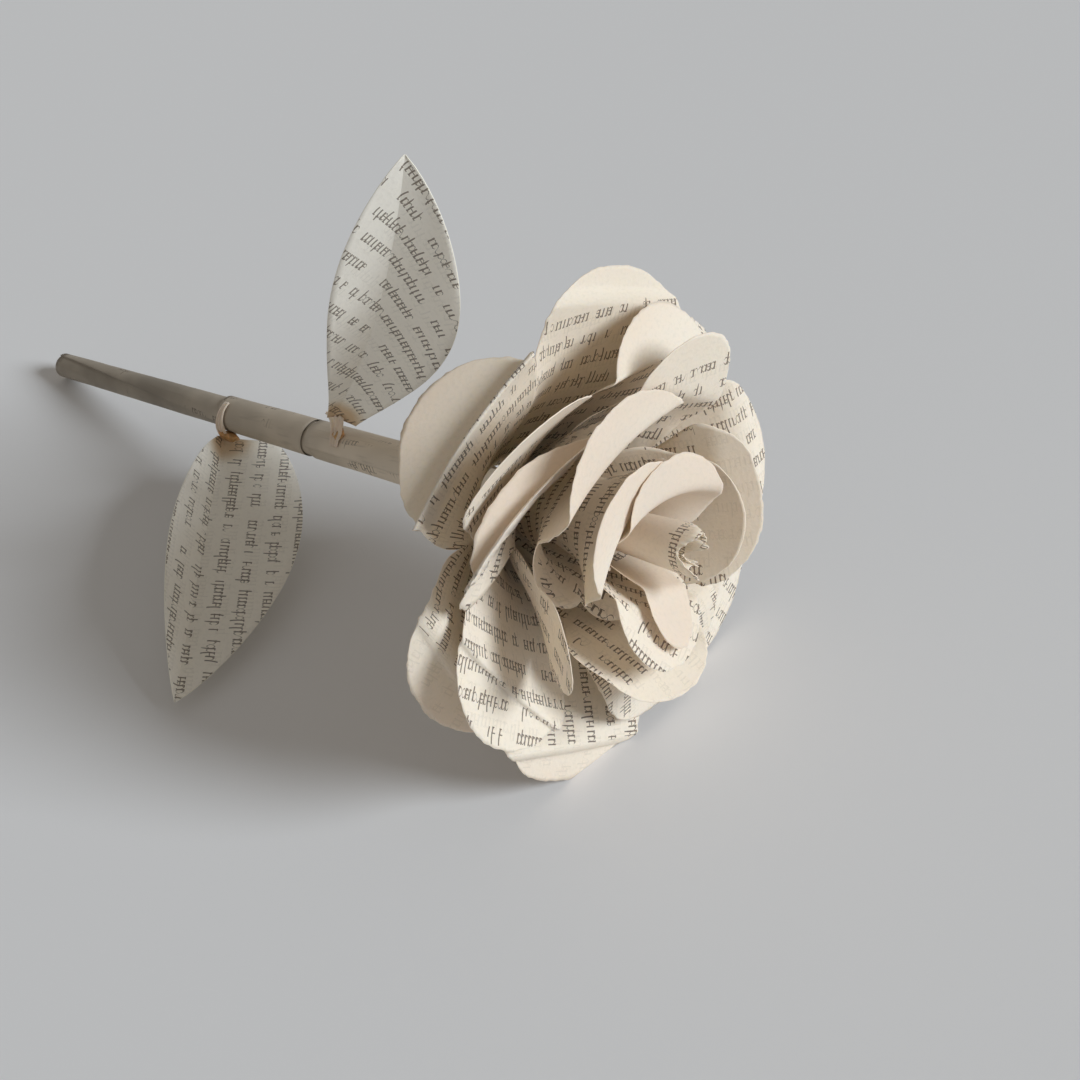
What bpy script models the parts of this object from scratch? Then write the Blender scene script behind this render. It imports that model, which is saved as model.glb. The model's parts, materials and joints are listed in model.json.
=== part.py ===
"""Paper rose cut and rolled from printed book pages, lying on its side as it rests on a table.

Six rings of petals, each one sheet of paper cut into 45 degree petals and glued into a cone, sit
one inside the next round a rolled heart, on the end of a rolled paper stem with two folded leaves.
Bodies that touch are modelled a third of a millimetre apart. X runs along the stem to the flower.
"""

import math
from dataclasses import dataclass

import bmesh
import bpy
from mathutils import Matrix, Vector

# Paper and clearances, in metres
PAPER = 0.0002
TOUCH = 0.0003

# One petal of a cut sheet, in metres along the flat paper from the sheet's centre
PETAL_SECTOR = math.radians(45)
PETAL_LENGTH = 0.062
PETAL_NOTCH = 0.033
PETAL_SHOULDER = 0.044
PETAL_SLIT = 0.0012

# Heights up a petal between which it turns from a slice of the cone into a flatter, twisted lobe
FLATTENING = 0.016
TWIST_FROM = 0.027
TWIST_TO = 0.050
CONE_START = 0.004

# Stem: a paper roll that tapers from the flower to the cut end, its long edge showing as a low step
STEM_LENGTH = 0.1420
STEM_END_RADIUS = 0.0024
STEM_END_HEIGHT = 0.0026
STEM_HEAD_RADIUS = 0.0036
STEM_STEP = 0.0003
STEM_SEAM_TURN = math.radians(220)
STEM_RISE = math.radians(14.0)
STEM_IN_FLOWER = 0.0057
FLOWER_APEX = 0.1363
STEM_START = FLOWER_APEX + STEM_IN_FLOWER - STEM_LENGTH

# Colours of the paper, linear
PETAL_COLOUR = (0.80, 0.73, 0.63)
LEAF_COLOUR = (0.66, 0.64, 0.57)
STEM_COLOUR = (0.38, 0.33, 0.27)
PAPER_ROUGHNESS = 0.85

# How finely the sheets are divided
PETAL_COLUMNS = 6
BODY_ROWS = 3
LOBE_ROWS = 7
ROUND_STEPS = 24
STEM_ROWS = 8
LEAF_ROWS = 12
BUD_ROWS = 4

# Half width left at a leaf's tip, where the paper is a blunt point
LEAF_TIP = 0.0002

# Heart of the flower: where its strip starts and ends beyond the cones' apex, how far it is rolled,
# its radius at the lower end with the gap between turns, and how much more it opens on the way up
BUD_START = 0.024
BUD_END = 0.053
BUD_TURN = math.radians(560)
BUD_RADIUS = 0.0014
BUD_SPREAD = 0.0024
BUD_FLARE = 0.020
BUD_SPREAD_FLARE = 0.030


@dataclass
class Bend:
    """A curl of the paper about a straight line across the petal."""

    offset: float
    radius: float
    angle: float


@dataclass
class Petal:
    """One petal of a ring: where it points, how far it leans out and how it is curled."""

    azimuth: float
    lean: float
    bends: tuple = ()
    twist: float = 0.0
    width: float = 1.0
    length: float = PETAL_LENGTH
    flat_from: float = 0.028
    roundness: float = 0.35


@dataclass
class Ring:
    """Petals of one sheet, joined up to the notches between them."""

    name: str
    apex: float
    hole: float
    petals: tuple


@dataclass
class Wrap:
    """A strip wound round the stem where a leaf is glued on."""

    name: str
    start: float
    end: float
    seam: float
    turn: float = 395
    rise: float = 0.0006


@dataclass
class Leaf:
    """A leaf folded lengthwise: base and tip of its crease, and the way its printed face looks."""

    name: str
    base: tuple
    tip: tuple
    face: tuple
    left: tuple
    right: tuple
    hand: int
    belly: float
    fold: float
    curl: float
    droop: float
    bow: float


WRAPS = (
    Wrap("stem_wrap_lower", 0.060, 0.089, 200),
    Wrap("stem_wrap_upper", 0.0895, 0.1385, 40),
)

LEAVES = (
    Leaf("leaf_lower", (0.0592, -0.0028, 0.0128), (0.0990, -0.0541, 0.0034), (0.285, -0.065, 0.957),
         (0.0010, 0.0100), (0.0100, 0.0180), -1, 0.95, 55, 0.05, -0.02, 0.0),
    Leaf("leaf_upper", (0.0940, -0.0005, 0.0337), (0.1156, 0.0095, 0.0956), (0.462, -0.886, -0.044),
         (0.0015, 0.0100), (0.0045, 0.0155), 1, 1.4, 35, 0.30, -0.05, 0.045),
)

RINGS = (
    Ring("petal_ring_6", 0.0000, 0.0065, (
        Petal(32, 44, (Bend(0.026, 0.025, 22), Bend(0.043, 0.003, 85)), 12),
        Petal(103, 44, (Bend(0.026, 0.025, 18), Bend(0.045, 0.010, 50))),
        Petal(150, 46, (Bend(0.026, 0.025, 21), Bend(0.050, 0.010, 30))),
        Petal(212, 46, (Bend(0.026, 0.025, 18), Bend(0.048, 0.008, 40))),
        Petal(276, 46, (Bend(0.026, 0.025, 12), Bend(0.044, 0.008, 70))),
        Petal(327, 46, (Bend(0.026, 0.025, 20), Bend(0.046, 0.012, 25)), -4, 0.95, 0.056),
    )),
    Ring("petal_ring_5", -0.0010, 0.0080, (
        Petal(30, 32, (Bend(0.028, 0.015, 16),), 20, 0.85, 0.057),
        Petal(112, 36, (Bend(0.026, 0.020, 22), Bend(0.048, 0.008, 20)), 0, 0.9),
        Petal(182, 34, (Bend(0.026, 0.025, 5), Bend(0.042, 0.006, 70)), 0, 0.9),
        Petal(264, 36, (Bend(0.026, 0.025, 5), Bend(0.046, 0.008, 60)), 0, 0.9, 0.057),
        Petal(318, 36, (Bend(0.026, 0.025, 6), Bend(0.046, 0.003, 75)), -24, 0.85, 0.060),
    )),
    Ring("petal_ring_4", -0.0020, 0.0100, (
        Petal(44, 27, (Bend(0.026, 0.025, 14), Bend(0.052, 0.002, 70)), 28, 1.05),
        Petal(105, 31, (), 28, 0.4, 0.060),
        Petal(159, 27, (Bend(0.050, 0.010, 20),), 0, 0.9, 0.058),
        Petal(252, 24, (Bend(0.046, 0.010, 15),), 0, 0.9, 0.055),
        Petal(318, 29, (Bend(0.048, 0.004, 40),), -8, 0.65),
    )),
    Ring("petal_ring_3", -0.0030, 0.0118, (
        Petal(10, 22, (Bend(0.052, 0.002, 60),), 0, 1.05),
        Petal(246, 18, (), 0, 0.7, 0.055),
    )),
    Ring("petal_ring_2", -0.0030, 0.0134, (
        Petal(40, 13.5, (Bend(0.052, 0.002, 60),), 10, 0.85, PETAL_LENGTH, 0.034),
        Petal(145, 13, (Bend(0.050, 0.002, 50),), 0, 0.65, PETAL_LENGTH, 0.034),
        Petal(275, 12.5, (), 0, 0.45, 0.045, 0.034),
    )),
    Ring("petal_ring_1", -0.0060, 0.0182, (
        Petal(348, 8, (Bend(0.055, 0.002, 80),), 2, 0.85, 0.064, 0.040),
        Petal(150, 9.3, (Bend(0.053, 0.002, 50),), 0, 0.35, 0.064, 0.040),
    )),
)

def stem_axis():
    return Vector((math.cos(STEM_RISE), 0, math.sin(STEM_RISE)))


def stem_frame(along):
    """Frame at a distance up the stem: x up across it, y towards the leaf side, z along it."""
    axis = stem_axis()
    side = Vector((0, -1, 0))
    up = side.cross(axis)
    origin = Vector((0, 0, STEM_END_HEIGHT)) + axis * along
    return Matrix((
        (up.x, side.x, axis.x, origin.x),
        (up.y, side.y, axis.y, origin.y),
        (up.z, side.z, axis.z, origin.z),
        (0, 0, 0, 1),
    ))


def stem_radius(along):
    """Radius of the rolled stem at a distance up it."""
    return STEM_END_RADIUS + (STEM_HEAD_RADIUS - STEM_END_RADIUS) * (along - STEM_START) / STEM_LENGTH


def flower_frame(along):
    """The stem frame at a ring's apex, as far beyond the flower's common apex as given."""
    return stem_frame(FLOWER_APEX + along)


def bent(point, bend):
    """The point after the paper beyond the bend's line is rolled outwards round it."""
    run = point.y - bend.offset
    if run <= 0:
        return point
    turn = min(run / bend.radius, math.radians(bend.angle))
    rest = run - turn * bend.radius
    arm = bend.radius - point.z
    reach = arm * math.sin(turn) + rest * math.cos(turn)
    lift = bend.radius - arm * math.cos(turn) + rest * math.sin(turn)
    return Vector((point.x, bend.offset + reach, lift))


def petal_matrix(petal):
    """Petal frame in the flower frame: x across, y up the midline, z out of the flower."""
    azimuth, lean = math.radians(petal.azimuth), math.radians(petal.lean)
    out = Vector((math.cos(azimuth), math.sin(azimuth), 0))
    axis = Vector((0, 0, 1))
    midline = axis * math.cos(lean) + out * math.sin(lean)
    normal = out * math.cos(lean) - axis * math.sin(lean)
    across = midline.cross(normal)
    return Matrix((across, midline, normal)).transposed()


def eased(value, low, high):
    """Rises smoothly from 0 at low to 1 at high."""
    share = min(max((value - low) / (high - low), 0), 1)
    return share * share * (3 - 2 * share)


def cone_radius(petal, y):
    """Radius to which the paper is rolled across the petal, at a height up its midline."""
    flat = eased(y, petal.flat_from, petal.flat_from + FLATTENING)
    return max(y, CONE_START) * math.tan(math.radians(petal.lean)) / (1 + (petal.roundness - 1) * flat)


def petal_point(petal, x, y):
    """A point of the flat petal, curled, rounded and leant out into the flower frame."""
    point = Vector((x, y, 0))
    for bend in petal.bends:
        point = bent(point, bend)
    point.z += x * math.tan(math.radians(petal.twist)) * eased(point.y, TWIST_FROM, TWIST_TO)
    radius = cone_radius(petal, y)
    angle = point.x / radius
    reach = radius + point.z
    wrapped = Vector((reach * math.sin(angle), point.y, reach * math.cos(angle) - radius))
    return petal_matrix(petal) @ wrapped


def half_width(petal, y, sector):
    """Half width of the petal: its share of the cone up to the notch, then the rounded lobe."""
    cone = sector * y * math.tan(math.radians(petal.lean))
    if y <= PETAL_NOTCH:
        return cone
    lobe = petal.width * (min(y, PETAL_SHOULDER) * math.tan(PETAL_SECTOR / 2) - PETAL_SLIT)
    grow = eased(y, PETAL_NOTCH, PETAL_SHOULDER)
    return cone * (1 - grow) + lobe * grow


def flat_point(petal, sector, share, row):
    """A point of the flat petal outline's grid: share runs from -1 to 1 across the row."""
    if row <= PETAL_SHOULDER:
        return share * half_width(petal, row, sector), row
    half = half_width(petal, PETAL_SHOULDER, sector)
    cap = petal.length - PETAL_SHOULDER
    rise = (row - PETAL_SHOULDER) / cap
    x = share * half * math.sqrt(1 - rise**2 / 2)
    y = PETAL_SHOULDER + cap * rise * math.sqrt(1 - share**2 / 2)
    return x, y


def ring_surface(ring):
    """Open surface of a ring: a grid for each petal, joined along the uncut part of its edges."""
    count = len(ring.petals)
    shares = [-1 + 2 * i / PETAL_COLUMNS for i in range(PETAL_COLUMNS + 1)]
    body = [ring.hole + (PETAL_NOTCH - ring.hole) * i / BODY_ROWS for i in range(BODY_ROWS)]
    mesh = bmesh.new()

    def sector(i, side):
        """Half the angle between petal i and its neighbour on that side."""
        turn = ring.petals[(i + side) % count].azimuth - ring.petals[i].azimuth
        return math.radians(turn * side % 360) / 2

    def edge(i, side, row):
        petal = ring.petals[i % count]
        return petal_point(petal, *flat_point(petal, sector(i % count, side), side, row))

    for i, petal in enumerate(ring.petals):
        lobe = [PETAL_NOTCH + (petal.length - PETAL_NOTCH) * k / LOBE_ROWS for k in range(LOBE_ROWS + 1)]
        grid = []
        for row in body + lobe:
            seam = min(row, PETAL_NOTCH)
            gaps = {side: (edge(i + side, -side, seam) - edge(i, side, seam)) / 2 for side in (1, -1)}
            fade = 1 - eased(row, PETAL_NOTCH, PETAL_SHOULDER)
            line = []
            for share in shares:
                side = 1 if share > 0 else -1
                point = petal_point(petal, *flat_point(petal, sector(i, side), share, row))
                line.append(mesh.verts.new(point + gaps[side] * fade * share * share))
            grid.append(line)
        for low, high in zip(grid, grid[1:]):
            for k in range(PETAL_COLUMNS):
                mesh.faces.new((low[k], low[k + 1], high[k + 1], high[k]))
    bmesh.ops.remove_doubles(mesh, verts=mesh.verts, dist=1e-6)
    return mesh


def stem_body():
    """The rolled stem: a tapered bar with one step where the sheet's long edge ends."""
    mesh = bmesh.new()
    rows = []
    for i in range(STEM_ROWS + 1):
        along = STEM_START + STEM_LENGTH * i / STEM_ROWS
        start = STEM_SEAM_TURN * i / STEM_ROWS
        row = []
        for j in range(ROUND_STEPS + 1):
            turn = j / ROUND_STEPS
            radius = stem_radius(along) + STEM_STEP * turn
            angle = start + 2 * math.pi * turn
            row.append(mesh.verts.new((radius * math.cos(angle), radius * math.sin(angle), along)))
        rows.append(row)
    count = len(rows[0])
    for low, high in zip(rows, rows[1:]):
        for j in range(count):
            k = (j + 1) % count
            mesh.faces.new((low[j], low[k], high[k], high[j]))
    mesh.faces.new(reversed(rows[0]))
    mesh.faces.new(rows[-1])
    bmesh.ops.recalc_face_normals(mesh, faces=mesh.faces)
    mesh.transform(stem_frame(0))
    return mesh


def wrap_surface(wrap):
    """A strip of paper wound once and a bit round the stem."""
    mesh = bmesh.new()
    rows = []
    for along in (wrap.start, (wrap.start + wrap.end) / 2, wrap.end):
        row = []
        for j in range(ROUND_STEPS + 1):
            share = j / ROUND_STEPS
            angle = math.radians(wrap.seam + wrap.turn * share)
            radius = stem_radius(along) + STEM_STEP + TOUCH + PAPER / 2 + wrap.rise * share
            row.append(mesh.verts.new((radius * math.cos(angle), radius * math.sin(angle), along)))
        rows.append(row)
    for low, high in zip(rows, rows[1:]):
        for j in range(ROUND_STEPS):
            mesh.faces.new((low[j], low[j + 1], high[j + 1], high[j]))
    mesh.transform(stem_frame(0))
    return mesh


def leaf_half_width(leaf, share, side):
    """Width of one half of the flat leaf at a share of its length."""
    base, widest = leaf.left if side < 0 else leaf.right
    swell = math.sin(math.pi * share**leaf.belly) ** 0.8 if 0 < share < 1 else 0
    return max(base * (1 - share) + (widest - base / 2) * swell, LEAF_TIP)


def leaf_point(leaf, length, share, side):
    """A point of the leaf: share runs up its length, side from -1 to 1 across it."""
    x, z = side * leaf_half_width(leaf, share, side), 0
    if side < 0:
        angle = math.radians(leaf.fold)
        x, z = x * math.cos(angle), -x * math.sin(angle)
    else:
        z = leaf.curl * x * x / leaf.right[1]
    arch = 4 * length * share * (1 - share)
    return Vector((leaf.hand * (x + leaf.bow * arch), length * share, z - leaf.droop * arch))


def leaf_frame(leaf):
    """Leaf frame: x across it, y from base to tip, z out of its printed face."""
    base = Vector(leaf.base)
    along = (Vector(leaf.tip) - base).normalized()
    face = Vector(leaf.face)
    face = (face - along * face.dot(along)).normalized()
    across = along.cross(face)
    return Matrix((
        (across.x, along.x, face.x, base.x),
        (across.y, along.y, face.y, base.y),
        (across.z, along.z, face.z, base.z),
        (0, 0, 0, 1),
    ))


def leaf_surface(leaf):
    mesh = bmesh.new()
    length = (Vector(leaf.tip) - Vector(leaf.base)).length
    sides = [-1, -0.5, 0, 0.25, 0.5, 0.75, 1]
    rows = []
    for i in range(LEAF_ROWS + 1):
        share = i / LEAF_ROWS
        rows.append([mesh.verts.new(leaf_point(leaf, length, share, side)) for side in sides])
    for low, high in zip(rows, rows[1:]):
        for k in range(len(sides) - 1):
            mesh.faces.new((low[k], low[k + 1], high[k + 1], high[k]))
    mesh.transform(leaf_frame(leaf))
    return mesh


def bud_surface():
    """The heart: a strip rolled into a narrow cone with a torn upper edge."""
    mesh = bmesh.new()
    rows = []
    steps = 2 * ROUND_STEPS
    for i in range(BUD_ROWS + 1):
        row = []
        for j in range(steps + 1):
            share = j / steps
            tear = 1 + 0.05 * math.sin(9 * share + 1) + 0.04 * math.sin(31 * share)
            along = BUD_START + (BUD_END * tear - BUD_START) * i / BUD_ROWS
            flare = BUD_FLARE + BUD_SPREAD_FLARE * share
            radius = BUD_RADIUS + BUD_SPREAD * share + flare * (along - BUD_START)
            angle = BUD_TURN * share
            row.append(mesh.verts.new((radius * math.cos(angle), radius * math.sin(angle), along)))
        rows.append(row)
    for low, high in zip(rows, rows[1:]):
        for j in range(steps):
            mesh.faces.new((low[j], low[j + 1], high[j + 1], high[j]))
    mesh.transform(flower_frame(0))
    return mesh


def new_object(name, mesh, colour, collection, sheet=True):
    """Adds the mesh as a named object with its own paper material, thickened if it is a sheet."""
    bmesh.ops.recalc_face_normals(mesh, faces=mesh.faces)
    data = bpy.data.meshes.new(name)
    mesh.to_mesh(data)
    mesh.free()
    material = bpy.data.materials.new(name)
    material.use_nodes = True
    shader = material.node_tree.nodes["Principled BSDF"]
    shader.inputs["Base Color"].default_value = (*colour, 1)
    shader.inputs["Roughness"].default_value = PAPER_ROUGHNESS
    data.materials.append(material)
    made = bpy.data.objects.new(name, data)
    collection.objects.link(made)
    if sheet:
        shell = made.modifiers.new("Paper", "SOLIDIFY")
        shell.thickness = PAPER
        shell.offset = 0
    return made


def settle(objects):
    """Moves every mesh so that the rose is centred on the origin with its lowest point at 0."""
    graph = bpy.context.evaluated_depsgraph_get()
    corners = [Vector(corner) for obj in objects for corner in obj.evaluated_get(graph).bound_box]
    low = [min(corner[i] for corner in corners) for i in range(3)]
    high = [max(corner[i] for corner in corners) for i in range(3)]
    shift = Vector((-(low[0] + high[0]) / 2, -(low[1] + high[1]) / 2, -low[2]))
    for obj in objects:
        obj.data.transform(Matrix.Translation(shift))


def main():
    for obj in list(bpy.data.objects):
        bpy.data.objects.remove(obj)
    rose = bpy.data.collections.new("paper_rose")
    bpy.context.scene.collection.children.link(rose)
    new_object("stem", stem_body(), STEM_COLOUR, rose, sheet=False)
    for wrap in WRAPS:
        new_object(wrap.name, wrap_surface(wrap), STEM_COLOUR, rose)
    for leaf in LEAVES:
        new_object(leaf.name, leaf_surface(leaf), LEAF_COLOUR, rose)
    for ring in RINGS:
        mesh = ring_surface(ring)
        mesh.transform(flower_frame(ring.apex))
        new_object(ring.name, mesh, PETAL_COLOUR, rose)
    new_object("bud_roll", bud_surface(), PETAL_COLOUR, rose)
    settle(list(rose.objects))


main()
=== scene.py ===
"""Paper rose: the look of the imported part, built sheet by sheet over its bodies.

Every petal ring, leaf, stem and heart follows the same curves as the solid it stands for, drawn
finer, with the page's rows of print laid out in flat paper metres on both faces.
"""

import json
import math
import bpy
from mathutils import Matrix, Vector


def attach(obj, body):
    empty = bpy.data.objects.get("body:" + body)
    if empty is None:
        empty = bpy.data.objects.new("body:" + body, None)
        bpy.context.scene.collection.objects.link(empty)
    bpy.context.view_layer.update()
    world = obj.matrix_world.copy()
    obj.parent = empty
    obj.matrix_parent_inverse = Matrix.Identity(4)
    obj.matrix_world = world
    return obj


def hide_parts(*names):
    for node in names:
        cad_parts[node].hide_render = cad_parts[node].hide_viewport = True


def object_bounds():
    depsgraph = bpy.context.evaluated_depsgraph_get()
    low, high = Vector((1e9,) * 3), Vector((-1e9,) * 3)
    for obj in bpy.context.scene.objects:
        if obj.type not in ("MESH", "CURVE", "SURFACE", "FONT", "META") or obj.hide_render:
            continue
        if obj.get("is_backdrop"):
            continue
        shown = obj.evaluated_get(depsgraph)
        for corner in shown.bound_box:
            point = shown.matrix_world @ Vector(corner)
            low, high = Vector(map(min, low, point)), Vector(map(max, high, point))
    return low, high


bl_info = {
    "name": "Paper rose",
    "version": (1, 0, 0),
    "blender": (4, 5, 0),
    "location": "View3D > Sidebar > Paper rose",
    "description": "Builds a rose cut and rolled from printed book pages",
    "category": "Object",
}

from dataclasses import dataclass

import bmesh
import bpy
from mathutils import Matrix, Vector, noise

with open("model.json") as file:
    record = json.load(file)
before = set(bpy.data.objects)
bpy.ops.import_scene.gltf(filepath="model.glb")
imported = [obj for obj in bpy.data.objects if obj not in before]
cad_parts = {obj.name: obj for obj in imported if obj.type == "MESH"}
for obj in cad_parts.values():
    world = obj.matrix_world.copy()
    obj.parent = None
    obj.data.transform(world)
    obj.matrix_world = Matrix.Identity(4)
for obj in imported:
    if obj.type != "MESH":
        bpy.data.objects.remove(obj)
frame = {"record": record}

# Petals of a cut sheet, in metres along the flat paper from the sheet's centre
PETAL_SECTOR = math.radians(45)
PETAL_LENGTH = 0.062
PETAL_NOTCH = 0.033
PETAL_SHOULDER = 0.044
PETAL_SLIT = 0.0012
PETAL_MIDDLE = 0.045

# Heights up a petal between which it turns from a slice of the cone into a flatter, twisted lobe
FLATTENING = 0.016
TWIST_FROM = 0.027
TWIST_TO = 0.050
CONE_START = 0.004

# Stem and its place, as in the solid
STEM_LENGTH = 0.1420
STEM_END_RADIUS = 0.0024
STEM_END_HEIGHT = 0.0026
STEM_HEAD_RADIUS = 0.0036
STEM_STEP = 0.0003
STEM_SEAM_TURN = math.radians(220)
STEM_RISE = math.radians(14.0)
STEM_END = Vector(frame["record"]["mounts"][0]["pos_m"])
FLOWER_APEX = 0.1363

# Windings that show at the ends of the roll: how many, how deep, and how far they sink
END_RINGS = 7
END_GROOVE = 0.00015
END_DISH = 0.0008

# Gap between the stem and a strip wound on it, and half the width of a leaf at its tip
TOUCH = 0.0004
LEAF_TIP = 0.0002

# Where the photo's camera and the main light stand, from the point under the stem's cut end
CAMERA_PLACE = Vector((0.3820, -0.2150, 0.3205))
CAMERA_BACK = Vector((0.546, -0.498, 0.6735))
CAMERA_RIGHT = Vector((0.736, 0.669, -0.103))
CAMERA_SENSOR = 36
KEY_FROM = Vector((0.74, 0.30, 0.44))

# Colours of the two lights, how soft the main one is, and how wide the floor is
KEY_COLOUR = (0.90, 0.955, 1.0)
KEY_SPREAD = math.radians(24)
SKY_COLOUR = (1.0, 0.94, 0.86, 1)
FLOOR_SIZE = 6

# Heart of the flower: where its strip starts and ends beyond the cones' apex, and how it is rolled
BUD_START = 0.024
BUD_END = 0.053
BUD_TURN = math.radians(560)
BUD_RADIUS = 0.0014
BUD_SPREAD = 0.0024
BUD_FLARE = 0.020
BUD_SPREAD_FLARE = 0.030

# Height at which paper that rests on the floor is pressed flat
FLOOR_TOUCH = 0.0001

# Unevenness of handled paper: between which heights up a petal it grows, how far and how finely
RIPPLE_FROM = 0.034
RIPPLE_TO = 0.058
RIPPLE = 0.0009
RIPPLE_SCALE = 45

# Hand-cut outline: how strong and how fine its long waves and its short nicks are
WAVE = 0.030
WAVE_SCALE = 110
NICK = 0.020
NICK_SCALE = 750

# How finely the paper is divided
PETAL_COLUMNS = 32
BODY_ROWS = 8
LOBE_ROWS = 36
ROUND_STEPS = 72
STEM_ROWS = 70
LEAF_ROWS = 48
LEAF_COLUMNS = 16
BUD_ROWS = 16
BUD_STEPS = 4 * ROUND_STEPS
WRAP_ROWS = 24
NECK_ROWS = 24
NECK_COLUMNS = 8

# Light through a sheet: how far it spreads, the share of each colour that gets there, and how
# strongly it shows
GLOW_REACH = 0.001
PAPER_GLOW = (1.0, 0.65, 0.40)
LEAF_GLOW = (1.0, 0.94, 0.86)
PETAL_GLOW_SHARE = 0.28
LEAF_GLOW_SHARE = 0.6

# A row of print: its foot as a share of the pitch, the shift from the row before as a share of a
# stroke, and the chances from 0 to 1 over or under which a stroke is tall, hangs below or is
# missing, or two of them are left out between words
ROW_FOOT = 0.27
ROW_SHIFT = 0.37
TALL_OVER = 0.8
HANGING_UNDER = 0.09
HANGING_DEPTH = 0.0008
MISSING_UNDER = 0.14
GAP_UNDER = 0.17
WORD_SEED = 5.5

# A stroke: its place, half its width and how far it bows as shares of its room, and the thin arcs and
# feet that join it to the next, with the chances over or between which it has them
STROKE_PLACE = 0.20
STROKE_HALF = 0.15
STROKE_BOW = 0.6
THIN = 0.0001
ARC_PLACE = 0.63
ARC_DEPTH = 0.0034
UPPER_OVER = 0.42
LOWER_BETWEEN = (0.25, 0.75)
MIDDLE_BETWEEN = (0.5, 0.68)
MIDDLE_HEIGHT = 0.55
FOOT_OVER = 0.3
FOOT_LENGTH = 0.6

# The page: its fibres and clouds, the edge of its aged margin, and the other side's print that
# shows through, mirrored and shifted
FIBRE_SCALE = 1300.0
FIBRE_DEPTH = 0.00009
FIBRE_RANGE = (0.45, 0.75)
FIBRE_SHARE = 0.22
FIBRE_TONE = 0.72
CLOUD_SCALE = 70.0
CLOUD_FROM = 0.45
CLOUD_SHARE = 0.5
CLOUD_TONE = 0.86
MARGIN_EDGE = (0.001, 0.016)
MARGIN_SHARE = 0.85
OTHER_SIDE = (-0.105, 0.0013, 0.0)
OTHER_SEED = 31.0
OTHER_SHARE = 0.10

# The stem's paper: its clouds, its long streaks, where along it the paper goes from darker at the cut
# end to paler towards the flower, the paler part being painted bounce light from the rose, and the
# clouds between which its print shows
STEM_CLOUD_SCALE = 55.0
STREAK_SCALE = 900.0
STREAK_STRETCH = (0.12, 1.0, 1.0)
STREAK_DEPTH = 0.0001
STREAK_RANGE = (0.55, 0.8)
STREAK_SHARE = 0.35
STREAK_TONE = 0.6
# painted bounce light: the stretch along the stem over which it is painted paler towards the flower
STEM_PAINTED_BOUNCE = (0.03, 0.135)
STEM_DARK_TONE = 0.72
STEM_PALE_TONE = 2.5
STEM_PRINT_RANGE = (0.54, 0.60)
STEM_PRINT_SHARE = 0.7

# Where the rolled sheets lie on their pages, from the corner of the print, and a place on the margin
STEM_PAGE = 0.30
STEM_PAGE_UP = 0.20
WRAP_PAGE_UP = 0.10
HEART_PAGE = 0.08
HEART_PRINT_FROM = 0.0495
MARGIN_PLACE = 0.02

# Place on the leaves' page where both are glued to the stem, and the size of the stain in metres
GLUE_SPOT = (-0.070, -0.062)
GLUE_DRY = 0.0078
GLUE_WET = 0.0030
GLUE_SHARE = 0.75
GLUE_SCALE = 700.0

# How far the ends of the wound strips slant along the stem, the shares of a strip between which it
# climbs on to its own start, and how uneven it and the stem are
WRAP_SLANT = 0.0014
WRAP_CLIMB_FROM = 0.78
WRAP_CLIMB_TO = 0.9
WRAP_UNEVEN = 0.00008
STEM_UNEVEN = 0.00006

# Pleats and creases of a pinched leaf end, as shares of its width, and unevenness of a bead of glue
NECK_PLEAT = 0.11
NECK_CREASE = 0.14
BEAD_UNEVEN = 0.35

# Materials of each kind of sheet: its two faces and its cut edge
PETAL_FINISHES = ("petal_outer", "petal_inner", "petal_edge")
LEAF_FINISHES = ("leaf_outer", "leaf_inner", "leaf_edge")
WRAP_FINISHES = ("rolled_paper", "rolled_paper", "stem_edge")


class PaperSettings(bpy.types.PropertyGroup):
    """The paper that every sheet of the rose is cut from."""

    thickness: bpy.props.FloatProperty(
        name="Paper thickness", description="Thickness of one sheet of book paper",
        default=0.00014, unit="LENGTH")
    cream: bpy.props.FloatVectorProperty(
        name="Paper", description="Colour of the printed part of a page",
        default=(0.89, 0.77, 0.635), size=3, subtype="COLOR")
    margin: bpy.props.FloatVectorProperty(
        name="Margin", description="Colour of the page's aged margin",
        default=(0.83, 0.665, 0.54), size=3, subtype="COLOR")
    leaf: bpy.props.FloatVectorProperty(
        name="Leaf paper", description="Colour of the paper the leaves are cut from",
        default=(0.92, 0.86, 0.74), size=3, subtype="COLOR")
    stem: bpy.props.FloatVectorProperty(
        name="Stem paper", description="Colour of the glue-stained paper of the stem",
        default=(0.38, 0.335, 0.275), size=3, subtype="COLOR")
    ink: bpy.props.FloatVectorProperty(
        name="Ink", description="Colour of the print",
        default=(0.075, 0.056, 0.044), size=3, subtype="COLOR")
    glue: bpy.props.FloatVectorProperty(
        name="Glue stain", description="Colour of dried glue on the paper",
        default=(0.42, 0.24, 0.10), size=3, subtype="COLOR")


class PrintSettings(bpy.types.PropertyGroup):
    """Rows of strokes that stand for the page's print."""

    line_pitch: bpy.props.FloatProperty(
        name="Line pitch", description="Distance between the rows of print",
        default=0.0048, unit="LENGTH")
    stroke_pitch: bpy.props.FloatProperty(
        name="Stroke pitch", description="Distance between the upright strokes in a row",
        default=0.00088, unit="LENGTH")
    body_height: bpy.props.FloatProperty(
        name="Stroke height", description="Height of the ordinary strokes",
        default=0.0017, unit="LENGTH")
    tall_height: bpy.props.FloatProperty(
        name="Tall stroke height", description="Height of the tall strokes",
        default=0.0027, unit="LENGTH")


class StageSettings(bpy.types.PropertyGroup):
    """Floor, lights and camera."""

    floor: bpy.props.FloatVectorProperty(
        name="Floor", description="Colour of the floor",
        default=(0.76, 0.765, 0.78), size=3, subtype="COLOR")
    key: bpy.props.FloatProperty(
        name="Key light", description="Strength of the key light", default=2.6)
    sky: bpy.props.FloatProperty(
        name="Room light", description="Strength of the light from all round", default=0.27)
    lens: bpy.props.FloatProperty(
        name="Lens", description="Focal length of the camera in millimetres", default=79.93)


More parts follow.
